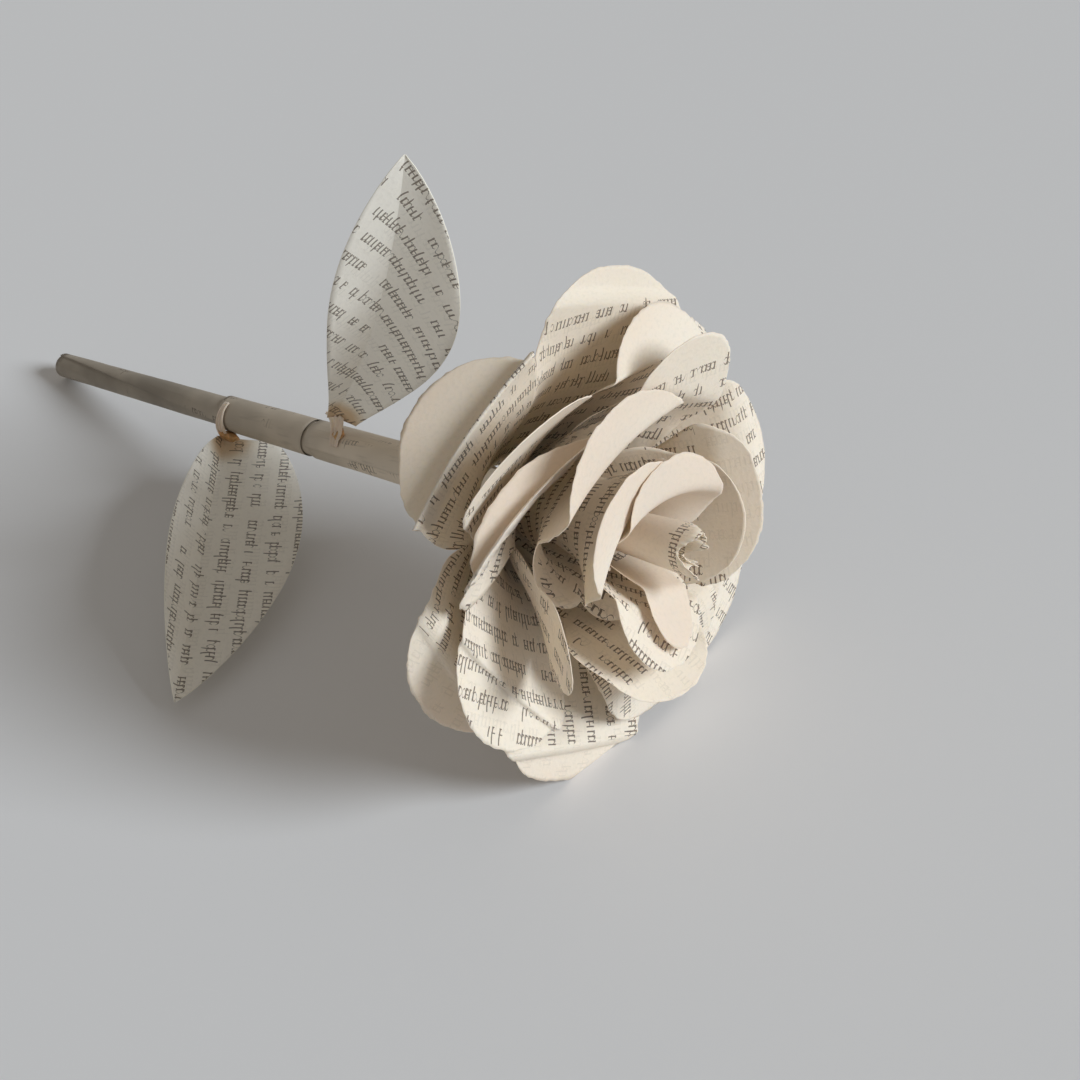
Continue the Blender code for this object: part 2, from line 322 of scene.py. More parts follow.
class Value:
    """A shader socket that can be used in arithmetic."""

    def __init__(self, shader, socket):
        self.shader = shader
        self.socket = socket

    def maths(self, operation, *others):
        """This value, then the others, through one Math node."""
        return self.shader.node("ShaderNodeMath", {"operation": operation}, self, *others)[0]

    def __add__(self, other):
        return self.maths("ADD", other)

    def __sub__(self, other):
        return self.maths("SUBTRACT", other)

    def __rsub__(self, other):
        return self.shader.node("ShaderNodeMath", {"operation": "SUBTRACT"}, other, self)[0]

    def __mul__(self, other):
        return self.maths("MULTIPLY", other)

    def __truediv__(self, other):
        return self.maths("DIVIDE", other)

    def __lt__(self, other):
        return self.maths("LESS_THAN", other)

    def __gt__(self, other):
        return self.maths("GREATER_THAN", other)

    __radd__ = __add__
    __rmul__ = __mul__

    def floor(self):
        """The whole number at or below the value."""
        return self.maths("FLOOR")

    def size(self):
        """The value without its sign."""
        return self.maths("ABSOLUTE")

    def most(self, other):
        """The larger of the two."""
        return self.maths("MAXIMUM", other)

    def between(self, low, high):
        """1 where the value lies between low and high."""
        return (self > low) * (self < high)

    def ramp(self, low, high):
        """Rises smoothly from 0 at low to 1 at high."""
        return self.shader.node(
            "ShaderNodeMapRange", {"interpolation_type": "SMOOTHSTEP"}, self, low, high, 0.0, 1.0)[0]


class Shader:
    """Builds one material's nodes."""

    def __init__(self, name):
        self.material = bpy.data.materials.new(name)
        self.material.use_nodes = True
        self.tree = self.material.node_tree
        self.surface = self.tree.nodes["Principled BSDF"]

    def node(self, kind, settings, *values, **named):
        """Adds a node with these settings and inputs, and returns its outputs."""
        made = self.tree.nodes.new(kind)
        for key, value in settings.items():
            setattr(made, key, value)
        for key, value in list(enumerate(values)) + list(named.items()):
            self.put(made.inputs[key], value)
        return [Value(self, out) for out in made.outputs]

    def put(self, socket, value):
        """Links a value to a socket, or sets a plain number or colour on it."""
        if isinstance(value, Value):
            self.tree.links.new(value.socket, socket)
        elif isinstance(value, (tuple, list)) and len(value) == 3 and socket.type == "RGBA":
            socket.default_value = (*value, 1)
        else:
            socket.default_value = value

    def set(self, **named):
        """Feeds the surface's own sockets by name."""
        for key, value in named.items():
            self.put(self.surface.inputs[key.replace("_", " ")], value)

    def mix(self, share, low, high):
        """Colour between low and high."""
        made = self.tree.nodes.new("ShaderNodeMix")
        made.data_type = "RGBA"
        self.put(made.inputs[0], share)
        self.put(made.inputs[6], low)
        self.put(made.inputs[7], high)
        return Value(self, made.outputs[2])

    def noise(self, where, scale, detail):
        """Soft noise from 0 to 1 over the paper."""
        return self.node("ShaderNodeTexNoise", {}, Vector=where, Scale=scale, Detail=detail)[0]

    def uv(self):
        """The flat paper coordinates, in metres, as a vector and as its two numbers."""
        where = self.node("ShaderNodeUVMap", {"uv_map": "page"})[0]
        parts = self.node("ShaderNodeSeparateXYZ", {}, where)
        return where, parts[0], parts[1]

    def let_light_through(self, weight, colour):
        """Light that falls on one side of the thin paper shows on the other."""
        self.set(Subsurface_Weight=weight, Subsurface_Scale=GLOW_REACH, Subsurface_Radius=colour)


def written(shader, where, seed):
    """1 on ink: rows of upright strokes joined by thin arcs and grouped like words."""
    sizes = bpy.context.scene.rose_print
    parts = shader.node("ShaderNodeSeparateXYZ", {}, where)
    u, v = parts[0], parts[1]
    line = (v / sizes.line_pitch).floor()
    above = v - line * sizes.line_pitch - ROW_FOOT * sizes.line_pitch
    stroke = (u / sizes.stroke_pitch + line * ROW_SHIFT).floor()
    along = u / sizes.stroke_pitch + line * ROW_SHIFT - stroke
    cell = shader.node("ShaderNodeCombineXYZ", {}, stroke, line, seed)[0]
    chance = shader.node("ShaderNodeTexWhiteNoise", {"noise_dimensions": "3D"}, cell)
    first, second, third = shader.node("ShaderNodeSeparateColor", {}, chance[1])
    pair = shader.node("ShaderNodeCombineXYZ", {}, (stroke / 2.0).floor(), line, seed + WORD_SEED)[0]
    word = shader.node("ShaderNodeTexWhiteNoise", {"noise_dimensions": "3D"}, pair)[0] > GAP_UNDER
    top = sizes.body_height + (first > TALL_OVER) * (sizes.tall_height - sizes.body_height)
    foot = (first < HANGING_UNDER) * -HANGING_DEPTH
    height = above / sizes.body_height - 0.5
    curve = height * height * (third - 0.5) * STROKE_BOW
    bar = (along - STROKE_PLACE + curve).size() < STROKE_HALF
    bar = bar * (above > foot) * (above < top) * (second > MISSING_UNDER)
    bow = (along - ARC_PLACE) * (along - ARC_PLACE) * ARC_DEPTH
    upper = (above - (sizes.body_height - THIN) + bow).size() < THIN
    lower = (above - THIN - bow).size() < THIN
    middle = (above - MIDDLE_HEIGHT * sizes.body_height).size() < THIN
    arcs = (upper * (third > UPPER_OVER)).most(lower * third.between(*LOWER_BETWEEN))
    arcs = arcs.most(middle * second.between(*MIDDLE_BETWEEN))
    serif = (above.size() < THIN) * (along < FOOT_LENGTH) * (second > FOOT_OVER)
    inside = (u < 0.0) * (v < 0.0)
    return bar.most(arcs).most(serif) * word * inside


def page_material(name, base, seed, glow, through, glued=False):
    """Uncoated book paper, printed, with an aged, darker margin and a trace of the other side."""
    paper = bpy.context.scene.rose_paper
    shader = Shader(name)
    where, u, v = shader.uv()
    ink = written(shader, where, seed)
    other = shader.node("ShaderNodeVectorMath", {"operation": "MULTIPLY"}, where, (-1.0, 1.0, 1.0))[0]
    other = shader.node("ShaderNodeVectorMath", {"operation": "ADD"}, other, OTHER_SIDE)[0]
    ghost = written(shader, other, seed + OTHER_SEED)
    fibre = shader.noise(where, FIBRE_SCALE, 3.0)
    cloud = shader.noise(where, CLOUD_SCALE, 2.0)
    aged = u.most(v).ramp(*MARGIN_EDGE)
    tone = shader.mix(aged * MARGIN_SHARE, base, tuple(paper.margin))
    clouded = (cloud - CLOUD_FROM).most(0.0) * CLOUD_SHARE
    tone = shader.mix(clouded, tone, tuple(CLOUD_TONE * c for c in base))
    tone = shader.mix(fibre.ramp(*FIBRE_RANGE) * FIBRE_SHARE, tone, tuple(FIBRE_TONE * c for c in base))
    tone = shader.mix(ghost * OTHER_SHARE, tone, tuple(paper.ink))
    if glued:
        spot = (*GLUE_SPOT, 0.0)
        away = shader.node("ShaderNodeVectorMath", {"operation": "DISTANCE"}, where, spot)[1]
        wet = 1.0 - (away + (cloud - 0.5) * 0.006).ramp(GLUE_WET, GLUE_DRY)
        tone = shader.mix(wet * GLUE_SHARE, tone, tuple(paper.glue))
    strength = 0.80 + 0.12 * fibre
    tone = shader.mix(ink * strength, tone, tuple(paper.ink))
    shader.set(Base_Color=tone, Roughness=0.92 - 0.10 * ink)
    shader.let_light_through(glow, through)
    bump = shader.node("ShaderNodeBump", {}, Strength=0.6, Distance=FIBRE_DEPTH, Height=fibre)[0]
    shader.set(Normal=bump)


def edge_material(name, base):
    """The cut edge of the paper, whiter than its faces."""
    shader = Shader(name)
    shader.set(Base_Color=tuple(min(1.0, 1.12 * c) for c in base), Roughness=0.95)


def stem_material(name):
    """Paper rolled tight and darkened by glue, with faint print along it, painted paler towards the
    flower to stand for bounce light from the rose.
    """
    paper = bpy.context.scene.rose_paper
    shader = Shader(name)
    where, u = shader.uv()[:2]
    ink = written(shader, where, 3.0)
    cloud = shader.noise(where, STEM_CLOUD_SCALE, 3.0)
    streak = shader.node("ShaderNodeVectorMath", {"operation": "MULTIPLY"}, where, STREAK_STRETCH)[0]
    streaks = shader.noise(streak, STREAK_SCALE, 3.0)
    # painted bounce light: the ramp along the stem paints the paper paler towards the flower, where
    # light reflected from the rose falls on it; the clouds are the paper's own uneven tone
    pale = cloud.ramp(0.35, 0.7) * 0.25 + (u + STEM_PAGE).ramp(*STEM_PAINTED_BOUNCE) * 0.75
    dark, light, streaked = (
        tuple(tone * c for c in paper.stem) for tone in (STEM_DARK_TONE, STEM_PALE_TONE, STREAK_TONE))
    tone = shader.mix(pale, dark, light)
    tone = shader.mix(streaks.ramp(*STREAK_RANGE) * STREAK_SHARE, tone, streaked)
    tone = shader.mix(ink * cloud.ramp(*STEM_PRINT_RANGE) * STEM_PRINT_SHARE, tone, tuple(paper.ink))
    shader.set(Base_Color=tone, Roughness=0.62 + 0.25 * cloud)
    bump = shader.node("ShaderNodeBump", {}, Strength=0.4, Distance=STREAK_DEPTH, Height=streaks)[0]
    shader.set(Normal=bump)


def glue_material(name):
    """Clear amber glue that has run out of the joint and dried."""
    paper = bpy.context.scene.rose_paper
    shader = Shader(name)
    where = shader.node("ShaderNodeTexCoord", {})[3]
    cloud = shader.noise(where, GLUE_SCALE, 2.0)
    clear = tuple(min(1.0, 1.7 * c) for c in paper.glue)
    tone = shader.mix(cloud.ramp(0.35, 0.65), tuple(paper.glue), clear)
    shader.set(Base_Color=tone, Roughness=0.22 + 0.2 * cloud)
    shader.let_light_through(0.5, PAPER_GLOW)


def materials():
    """The rose's materials by name, made once."""
    wanted = bpy.data.materials
    paper = bpy.context.scene.rose_paper
    if "petal_inner" not in wanted:
        page_material("petal_outer", tuple(paper.cream), 11.0, PETAL_GLOW_SHARE, PAPER_GLOW)
        page_material("petal_inner", tuple(paper.cream), 47.0, PETAL_GLOW_SHARE, PAPER_GLOW)
        edge_material("petal_edge", tuple(paper.cream))
        page_material("leaf_outer", tuple(paper.leaf), 23.0, LEAF_GLOW_SHARE, LEAF_GLOW, True)
        page_material("leaf_inner", tuple(paper.leaf), 83.0, LEAF_GLOW_SHARE, LEAF_GLOW, True)
        edge_material("leaf_edge", tuple(paper.leaf))
        stem_material("rolled_paper")
        edge_material("stem_edge", tuple(0.5 * c for c in paper.stem))
        glue_material("dried_glue")
    return wanted


@dataclass
class Bend:
    """A curl of the paper about a straight line across the petal."""

    offset: float
    radius: float
    angle: float


@dataclass
class Page:
    """How a piece lies on its page: the turn of the print on it, and where the page's corner is."""

    turn: float
    right: float
    up: float


@dataclass
class Petal:
    """One petal of a ring: where it points, how far it leans out and how it is curled."""

    azimuth: float
    lean: float
    bends: tuple = ()
    twist: float = 0.0
    width: float = 1.0
    length: float = PETAL_LENGTH
    flat_from: float = 0.028
    roundness: float = 0.35


@dataclass
class Ring:
    """Petals of one sheet, joined up to the notches between them."""

    name: str
    apex: float
    hole: float
    petals: tuple


@dataclass
class Wrap:
    """A strip wound round the stem where a leaf is glued on."""

    name: str
    start: float
    end: float
    seam: float
    turn: float = 395
    rise: float = 0.0006


@dataclass
class Leaf:
    """A leaf folded lengthwise: base and tip of its crease, and the way its printed face looks."""

    name: str
    base: tuple
    tip: tuple
    face: tuple
    left: tuple
    right: tuple
    hand: int
    belly: float
    fold: float
    curl: float
    droop: float
    bow: float


@dataclass
class Neck:
    """The pinched end of a leaf, laid over the stem: from the leaf's end to its own."""

    name: str
    along: tuple
    turn: tuple
    reach: tuple
    width: tuple


WRAPS = (
    Wrap("stem_wrap_lower", 0.060, 0.089, 200),
    Wrap("stem_wrap_upper", 0.0895, 0.1385, 40),
)

LEAVES = (
    Leaf("leaf_lower", (0.0592, -0.0028, 0.0128), (0.0990, -0.0541, 0.0034), (0.285, -0.065, 0.957),
         (0.0010, 0.0100), (0.0100, 0.0180), -1, 0.95, 55, 0.05, -0.02, 0.0),
    Leaf("leaf_upper", (0.0940, -0.0005, 0.0337), (0.1156, 0.0095, 0.0956), (0.462, -0.886, -0.044),
         (0.0015, 0.0100), (0.0045, 0.0155), 1, 1.4, 35, 0.30, -0.05, 0.045),
)

RINGS = (
    Ring("petal_ring_6", 0.0000, 0.0065, (
        Petal(32, 44, (Bend(0.026, 0.025, 22), Bend(0.043, 0.003, 85)), 12),
        Petal(103, 44, (Bend(0.026, 0.025, 18), Bend(0.045, 0.010, 50))),
        Petal(150, 46, (Bend(0.026, 0.025, 21), Bend(0.050, 0.010, 30))),
        Petal(212, 46, (Bend(0.026, 0.025, 18), Bend(0.048, 0.008, 40))),
        Petal(276, 46, (Bend(0.026, 0.025, 12), Bend(0.044, 0.008, 70))),
        Petal(327, 46, (Bend(0.026, 0.025, 20), Bend(0.046, 0.012, 25)), -4, 0.95, 0.056),
    )),
    Ring("petal_ring_5", -0.0010, 0.0080, (
        Petal(30, 32, (Bend(0.028, 0.015, 16),), 20, 0.85, 0.057),
        Petal(112, 36, (Bend(0.026, 0.020, 22), Bend(0.048, 0.008, 20)), 0, 0.9),
        Petal(182, 34, (Bend(0.026, 0.025, 5), Bend(0.042, 0.006, 70)), 0, 0.9),
        Petal(264, 36, (Bend(0.026, 0.025, 5), Bend(0.046, 0.008, 60)), 0, 0.9, 0.057),
        Petal(318, 36, (Bend(0.026, 0.025, 6), Bend(0.046, 0.003, 75)), -24, 0.85, 0.060),
    )),
    Ring("petal_ring_4", -0.0020, 0.0100, (
        Petal(44, 27, (Bend(0.026, 0.025, 14), Bend(0.052, 0.002, 70)), 28, 1.05),
        Petal(105, 31, (), 28, 0.4, 0.060),
        Petal(159, 27, (Bend(0.050, 0.010, 20),), 0, 0.9, 0.058),
        Petal(252, 24, (Bend(0.046, 0.010, 15),), 0, 0.9, 0.055),
        Petal(318, 29, (Bend(0.048, 0.004, 40),), -8, 0.65),
    )),
    Ring("petal_ring_3", -0.0030, 0.0118, (
        Petal(10, 22, (Bend(0.052, 0.002, 60),), 0, 1.05),
        Petal(246, 18, (), 0, 0.7, 0.055),
    )),
    Ring("petal_ring_2", -0.0030, 0.0134, (
        Petal(40, 13.5, (Bend(0.052, 0.002, 60),), 10, 0.85, PETAL_LENGTH, 0.034),
        Petal(145, 13, (Bend(0.050, 0.002, 50),), 0, 0.65, PETAL_LENGTH, 0.034),
        Petal(275, 12.5, (), 0, 0.45, 0.045, 0.034),
    )),
    Ring("petal_ring_1", -0.0060, 0.0182, (
        Petal(348, 8, (Bend(0.055, 0.002, 80),), 2, 0.85, 0.064, 0.040),
        Petal(150, 9.3, (Bend(0.053, 0.002, 50),), 0, 0.35, 0.064, 0.040),
    )),
)

# How each petal is cut from its page, in the order of its ring: the turn of the print in degrees
# from the petal's width, then how far its middle is from the right and upper edge of the print
PAGES = {
    "petal_ring_6": (
        Page(8, 0.045, 0.0035), Page(70, 0.004, 0.050), Page(95, 0.006, 0.050),
        Page(95, 0.020, 0.050), Page(50, 0.040, 0.040), Page(-12, 0.030, 0.0035),
    ),
    "petal_ring_5": (
        Page(10, 0.050, 0.004), Page(-20, 0.050, 0.060), Page(90, 0.012, 0.060),
        Page(85, 0.020, 0.060), Page(-20, 0.050, 0.004),
    ),
    "petal_ring_4": (
        Page(0, 0.050, 0.002), Page(85, 0.050, 0.060), Page(75, 0.006, 0.060), Page(80, 0.001, 0.060),
        Page(-30, 0.050, 0.010),
    ),
    "petal_ring_3": (Page(-5, 0.050, 0.001), Page(80, 0.001, 0.060)),
    "petal_ring_2": (Page(5, 0.050, 0.001), Page(40, 0.050, 0.060), Page(60, 0.050, 0.060)),
    "petal_ring_1": (Page(0, 0.050, -0.006), Page(0, 0.050, -0.002)),
}
LEAF_PAGES = {"leaf_lower": Page(88, 0.025, 0.0604), "leaf_upper": Page(-40, 0.0989, 0.0275)}

NECKS = (
    Neck("neck_lower", (0.0604, 0.0634), (147, 16), (0.0056, 0.0041), (0.0066, 0.0015)),
    Neck("neck_upper", (0.0990, 0.0998), (4, 52), (0.0080, 0.0049), (0.0056, 0.0024)),
)

# Beads of dried glue: place along the stem, turn round it, distance from its axis, and size
BEADS = (
    ("glue_lower", 0.0628, 132, 0.0045, (0.0010, 0.0017, 0.0024)),
    ("glue_upper", 0.0995, 20, 0.0047, (0.0007, 0.0012, 0.0017)),
)


def design_place():
    """Moves the drawing, which starts on the floor under the stem's cut end, into the part's frame."""
    return Matrix.Translation(STEM_END - Vector((0, 0, STEM_END_HEIGHT)))


def columns(across, up, out, origin):
    """Matrix with these three directions and this place as its columns."""
    return Matrix((
        (across.x, up.x, out.x, origin.x),
        (across.y, up.y, out.y, origin.y),
        (across.z, up.z, out.z, origin.z),
        (0, 0, 0, 1),
    ))


def stem_frame(along):
    """Frame at a distance up the stem: x up across it, y towards the leaf side, z along it."""
    axis = Vector((math.cos(STEM_RISE), 0, math.sin(STEM_RISE)))
    side = Vector((0, -1, 0))
    up = side.cross(axis)
    origin = Vector((0, 0, STEM_END_HEIGHT)) + axis * along
    return design_place() @ columns(up, side, axis, origin)


def stem_radius(along):
    """Radius of the rolled stem at a distance up it."""
    return STEM_END_RADIUS + (STEM_HEAD_RADIUS - STEM_END_RADIUS) * along / STEM_LENGTH


def eased(value, low, high):
    """Rises smoothly from 0 at low to 1 at high."""
    share = min(max((value - low) / (high - low), 0), 1)
    return share * share * (3 - 2 * share)


def bent(point, bend):
    """The point after the paper beyond the bend's line is rolled outwards round it."""
    run = point.y - bend.offset
    if run <= 0:
        return point
    turn = min(run / bend.radius, math.radians(bend.angle))
    rest = run - turn * bend.radius
    arm = bend.radius - point.z
    reach = arm * math.sin(turn) + rest * math.cos(turn)
    lift = bend.radius - arm * math.cos(turn) + rest * math.sin(turn)
    return Vector((point.x, bend.offset + reach, lift))


def petal_matrix(petal):
    """Petal frame in the flower frame: x across, y up the midline, z out of the flower."""
    azimuth, lean = math.radians(petal.azimuth), math.radians(petal.lean)
    out = Vector((math.cos(azimuth), math.sin(azimuth), 0))
    axis = Vector((0, 0, 1))
    midline = axis * math.cos(lean) + out * math.sin(lean)
    normal = out * math.cos(lean) - axis * math.sin(lean)
    across = midline.cross(normal)
    return Matrix((across, midline, normal)).transposed()


def cone_radius(petal, y):
    """Radius to which the paper is rolled across the petal, at a height up its midline."""
    flat = eased(y, petal.flat_from, petal.flat_from + FLATTENING)
    return max(y, CONE_START) * math.tan(math.radians(petal.lean)) / (1 + (petal.roundness - 1) * flat)


def ripple(petal, x, y):
    """Slight unevenness of handled paper, growing towards the free end of the petal."""
    loose = eased(y, RIPPLE_FROM, RIPPLE_TO)
    across, up = x * RIPPLE_SCALE + petal.azimuth, y * RIPPLE_SCALE + petal.lean
    return RIPPLE * loose * noise.noise(Vector((across, up, petal.length * 300)))


def petal_point(petal, x, y):
    """A point of the flat petal, curled, rounded and leant out into the flower frame."""
    point = Vector((x, y, 0))
    for bend in petal.bends:
        point = bent(point, bend)
    point.z += x * math.tan(math.radians(petal.twist)) * eased(point.y, TWIST_FROM, TWIST_TO)
    point.z += ripple(petal, x, y)
    radius = cone_radius(petal, y)
    angle = point.x / radius
    reach = radius + point.z
    wrapped = Vector((reach * math.sin(angle), point.y, reach * math.cos(angle) - radius))
    return petal_matrix(petal) @ wrapped


def half_width(petal, y, sector):
    """Half width of the petal: its share of the cone up to the notch, then the rounded lobe."""
    cone = sector * y * math.tan(math.radians(petal.lean))
    if y <= PETAL_NOTCH:
        return cone
    lobe = petal.width * (min(y, PETAL_SHOULDER) * math.tan(PETAL_SECTOR / 2) - PETAL_SLIT)
    grow = eased(y, PETAL_NOTCH, PETAL_SHOULDER)
    return cone * (1 - grow) + lobe * grow


def ragged(petal, x, y):
    """Unevenness of the hand-cut outline, long waves and short nicks, as a share of its size."""
    slow = noise.noise(Vector((x * WAVE_SCALE, y * WAVE_SCALE, petal.azimuth)))
    quick = noise.noise(Vector((x * NICK_SCALE, y * NICK_SCALE, petal.lean)))
    return WAVE * slow + NICK * quick


def flat_point(petal, sector, share, row):
    """A point of the flat petal outline's grid: share runs from -1 to 1 across the row."""
    if row <= PETAL_NOTCH:
        return share * half_width(petal, row, sector), row
    if row <= PETAL_SHOULDER:
        x, y = share * half_width(petal, row, sector), row
    else:
        half = half_width(petal, PETAL_SHOULDER, sector)
        cap = petal.length - PETAL_SHOULDER
        rise = (row - PETAL_SHOULDER) / cap
        x = share * half * math.sqrt(1 - rise**2 / 2)
        y = PETAL_SHOULDER + cap * rise * math.sqrt(1 - share**2 / 2)
    free = eased(row, PETAL_NOTCH, PETAL_SHOULDER)
    outer = free * max(abs(share), (row - PETAL_NOTCH) / (petal.length - PETAL_NOTCH)) ** 4
    grown = 1 + outer * ragged(petal, x, y)
    return x * grown, PETAL_SHOULDER + (y - PETAL_SHOULDER) * grown if y > PETAL_SHOULDER else y


def on_page(page, x, y):
    """Where a flat point lies on its page, measured from the corner of the block of print."""
    turn = math.radians(page.turn)
    u = x * math.cos(turn) + (y - PETAL_MIDDLE) * math.sin(turn)
    v = (y - PETAL_MIDDLE) * math.cos(turn) - x * math.sin(turn)
    return u - page.right, v - page.up


def add_grid(mesh, points, pages):
    """Adds a sheet of quads through rows of points, with each corner's place on the page."""
    layer = mesh.loops.layers.uv["page"]
    verts = [[mesh.verts.new(point) for point in row] for row in points]
    for i in range(len(verts) - 1):
        for k in range(len(verts[i]) - 1):
            corners = ((i, k), (i, k + 1), (i + 1, k + 1), (i + 1, k))
            face = mesh.faces.new([verts[a][b] for a, b in corners])
            face.smooth = True
            for loop, (a, b) in zip(face.loops, corners):
                loop[layer].uv = pages[a][b]
    return verts


def new_sheet_mesh():
    """An empty mesh that carries each corner's place on the page."""
    mesh = bmesh.new()
    mesh.loops.layers.uv.new("page")
    return mesh


def ring_surface(ring):
    """Open surface of a ring: a grid for each petal, joined along the uncut part of its edges."""
    count = len(ring.petals)
    shares = [-1 + 2 * i / PETAL_COLUMNS for i in range(PETAL_COLUMNS + 1)]
    body = [ring.hole + (PETAL_NOTCH - ring.hole) * i / BODY_ROWS for i in range(BODY_ROWS)]
    mesh = new_sheet_mesh()

    def sector(i, side):
        """Half the angle between petal i and its neighbour on that side."""
        turn = ring.petals[(i + side) % count].azimuth - ring.petals[i].azimuth
        return math.radians(turn * side % 360) / 2

    def edge(i, side, row):
        """A point on one edge of petal i, at a row up it."""
        petal = ring.petals[i % count]
        return petal_point(petal, *flat_point(petal, sector(i % count, side), side, row))

    for i, petal in enumerate(ring.petals):
        free = petal.length - PETAL_NOTCH
        lobe = [PETAL_NOTCH + free * k / LOBE_ROWS for k in range(LOBE_ROWS + 1)]
        points, pages = [], []
        for row in body + lobe:
            seam = min(row, PETAL_NOTCH)
            gaps = {side: (edge(i + side, -side, seam) - edge(i, side, seam)) / 2 for side in (1, -1)}
            fade = 1 - eased(row, PETAL_NOTCH, PETAL_SHOULDER)
            flat = [flat_point(petal, sector(i, 1 if s > 0 else -1), s, row) for s in shares]
            points.append([
                petal_point(petal, *spot) + gaps[1 if s > 0 else -1] * fade * s * s
                for s, spot in zip(shares, flat)
            ])
            pages.append([on_page(PAGES[ring.name][i], *spot) for spot in flat])
        add_grid(mesh, points, pages)
    bmesh.ops.remove_doubles(mesh, verts=mesh.verts, dist=1e-6)
    return mesh


def new_piece(name, mesh, node, finishes):
    """Adds a piece, in place of a solid if one is named; a sheet is thickened to real paper."""
    for vert in mesh.verts:
        vert.co.z = max(vert.co.z, FLOOR_TOUCH)
    data = bpy.data.meshes.new(name)
    mesh.to_mesh(data)
    mesh.free()
    for finish in finishes:
        data.materials.append(materials()[finish])
    made = bpy.data.objects.new(name, data)
    bpy.context.scene.collection.objects.link(made)
    if len(finishes) == 3:
        shell = made.modifiers.new("Paper", "SOLIDIFY")
        shell.thickness = bpy.context.scene.rose_paper.thickness
        shell.offset = 0
        shell.material_offset = 1
        shell.material_offset_rim = 2
    if node:
        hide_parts(node)
    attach(made, "root")


def stem_surface():
    """The rolled stem: a tapered bar with one step where the sheet's long edge ends."""
    mesh = new_sheet_mesh()
    points, pages = [], []
    for i in range(STEM_ROWS + 1):
        along = STEM_LENGTH * i / STEM_ROWS
        start = STEM_SEAM_TURN * i / STEM_ROWS
        row, page = [], []
        for j in range(ROUND_STEPS + 1):
            turn = j / ROUND_STEPS
            where = Vector((along * 120, 4 * math.cos(2 * math.pi * turn), 7))
            uneven = STEM_UNEVEN * noise.noise(where)
            radius = stem_radius(along) + STEM_STEP * turn + uneven
            angle = start + 2 * math.pi * turn
            row.append((radius * math.cos(angle), radius * math.sin(angle), along))
            page.append((along - STEM_PAGE, radius * 2 * math.pi * turn - STEM_PAGE_UP))
        points.append(row)
        pages.append(page)
    verts = add_grid(mesh, points, pages)
    layer = mesh.loops.layers.uv["page"]
    for low, high in zip(verts, verts[1:]):
        step = mesh.faces.new((low[-1], low[0], high[0], high[-1]))
        for loop in step.loops:
            loop[layer].uv = (-STEM_PAGE, -STEM_PAGE_UP)
    rolled_end(mesh, verts[0], points[0], -1)
    rolled_end(mesh, verts[-1], points[-1], 1)
    mesh.transform(stem_frame(0))
    return mesh


def rolled_end(mesh, rim, points, side):
    """Closes an end of the stem with the windings of the roll, sunk towards its middle."""
    layer = mesh.loops.layers.uv["page"]
    rows = [rim]
    for k in range(1, END_RINGS + 1):
        share = 1 - k / (END_RINGS + 0.5)
        groove = END_GROOVE * (k % 2) + END_DISH * (1 - share)
        rows.append([
            mesh.verts.new((x * share, y * share, along - side * groove)) for x, y, along in points
        ])
    for outer, inner in zip(rows, rows[1:]):
        for j in range(len(outer)):
            n = (j + 1) % len(outer)
            corners = (outer[n], outer[j], inner[j], inner[n])
            face = mesh.faces.new(corners if side < 0 else corners[::-1])
            for loop in face.loops:
                loop[layer].uv = (MARGIN_PLACE, MARGIN_PLACE)
    middle = mesh.faces.new(rows[-1] if side > 0 else rows[-1][::-1])
    for loop in middle.loops:
        loop[layer].uv = (MARGIN_PLACE, MARGIN_PLACE)


def wrap_surface(wrap):
    """A strip of paper wound once and a bit round the stem."""
    mesh = new_sheet_mesh()
    points, pages = [], []
    for i in range(WRAP_ROWS + 1):
        row, page = [], []
        for j in range(ROUND_STEPS + 1):
            share = j / ROUND_STEPS
            angle = math.radians(wrap.seam + wrap.turn * share)
            low = wrap.start + WRAP_SLANT * (1 + math.sin(angle)) / 2
            high = wrap.end - WRAP_SLANT * (1 - math.cos(angle)) / 2
            along = low + (high - low) * i / WRAP_ROWS
            uneven = WRAP_UNEVEN * noise.noise(Vector((along * 90, share * 9, wrap.seam)))
            climb = wrap.rise * eased(share, WRAP_CLIMB_FROM, WRAP_CLIMB_TO)
            radius = stem_radius(along) + STEM_STEP / 2 + TOUCH + climb + uneven
            row.append((radius * math.cos(angle), radius * math.sin(angle), along))
            page.append((along - STEM_PAGE, radius * angle - WRAP_PAGE_UP))
        points.append(row)
        pages.append(page)
    add_grid(mesh, points, pages)
    mesh.transform(stem_frame(0))
    return mesh


def neck_surface(neck):
    """The pinched end of a leaf, bent over the stem and pressed on to it."""
    mesh = new_sheet_mesh()
    points, pages = [], []
    for i in range(NECK_ROWS + 1):
        share = i / NECK_ROWS
        angle = math.radians(neck.turn[0] + (neck.turn[1] - neck.turn[0]) * share * share)
        reach = neck.reach[1] + (neck.reach[0] - neck.reach[1]) * (1 - share) ** 2
        middle = neck.along[0] + (neck.along[1] - neck.along[0]) * share
        half = (neck.width[0] + (neck.width[1] - neck.width[0]) * math.sqrt(share)) / 2
        row, page = [], []
        for k in range(-NECK_COLUMNS, NECK_COLUMNS + 1):
            side = k / NECK_COLUMNS
            crease = noise.noise(Vector((side * 2, share * 4, 1)))
            fold = NECK_PLEAT * math.cos(3 * math.pi * side) + NECK_CREASE * crease
            radius = reach + half * fold
            row.append((radius * math.cos(angle), radius * math.sin(angle), middle + side * half))
            page.append((MARGIN_PLACE + side * half, MARGIN_PLACE + 0.01 * share))
        points.append(row)
        pages.append(page)
    add_grid(mesh, points, pages)
    mesh.transform(stem_frame(0))
    return mesh


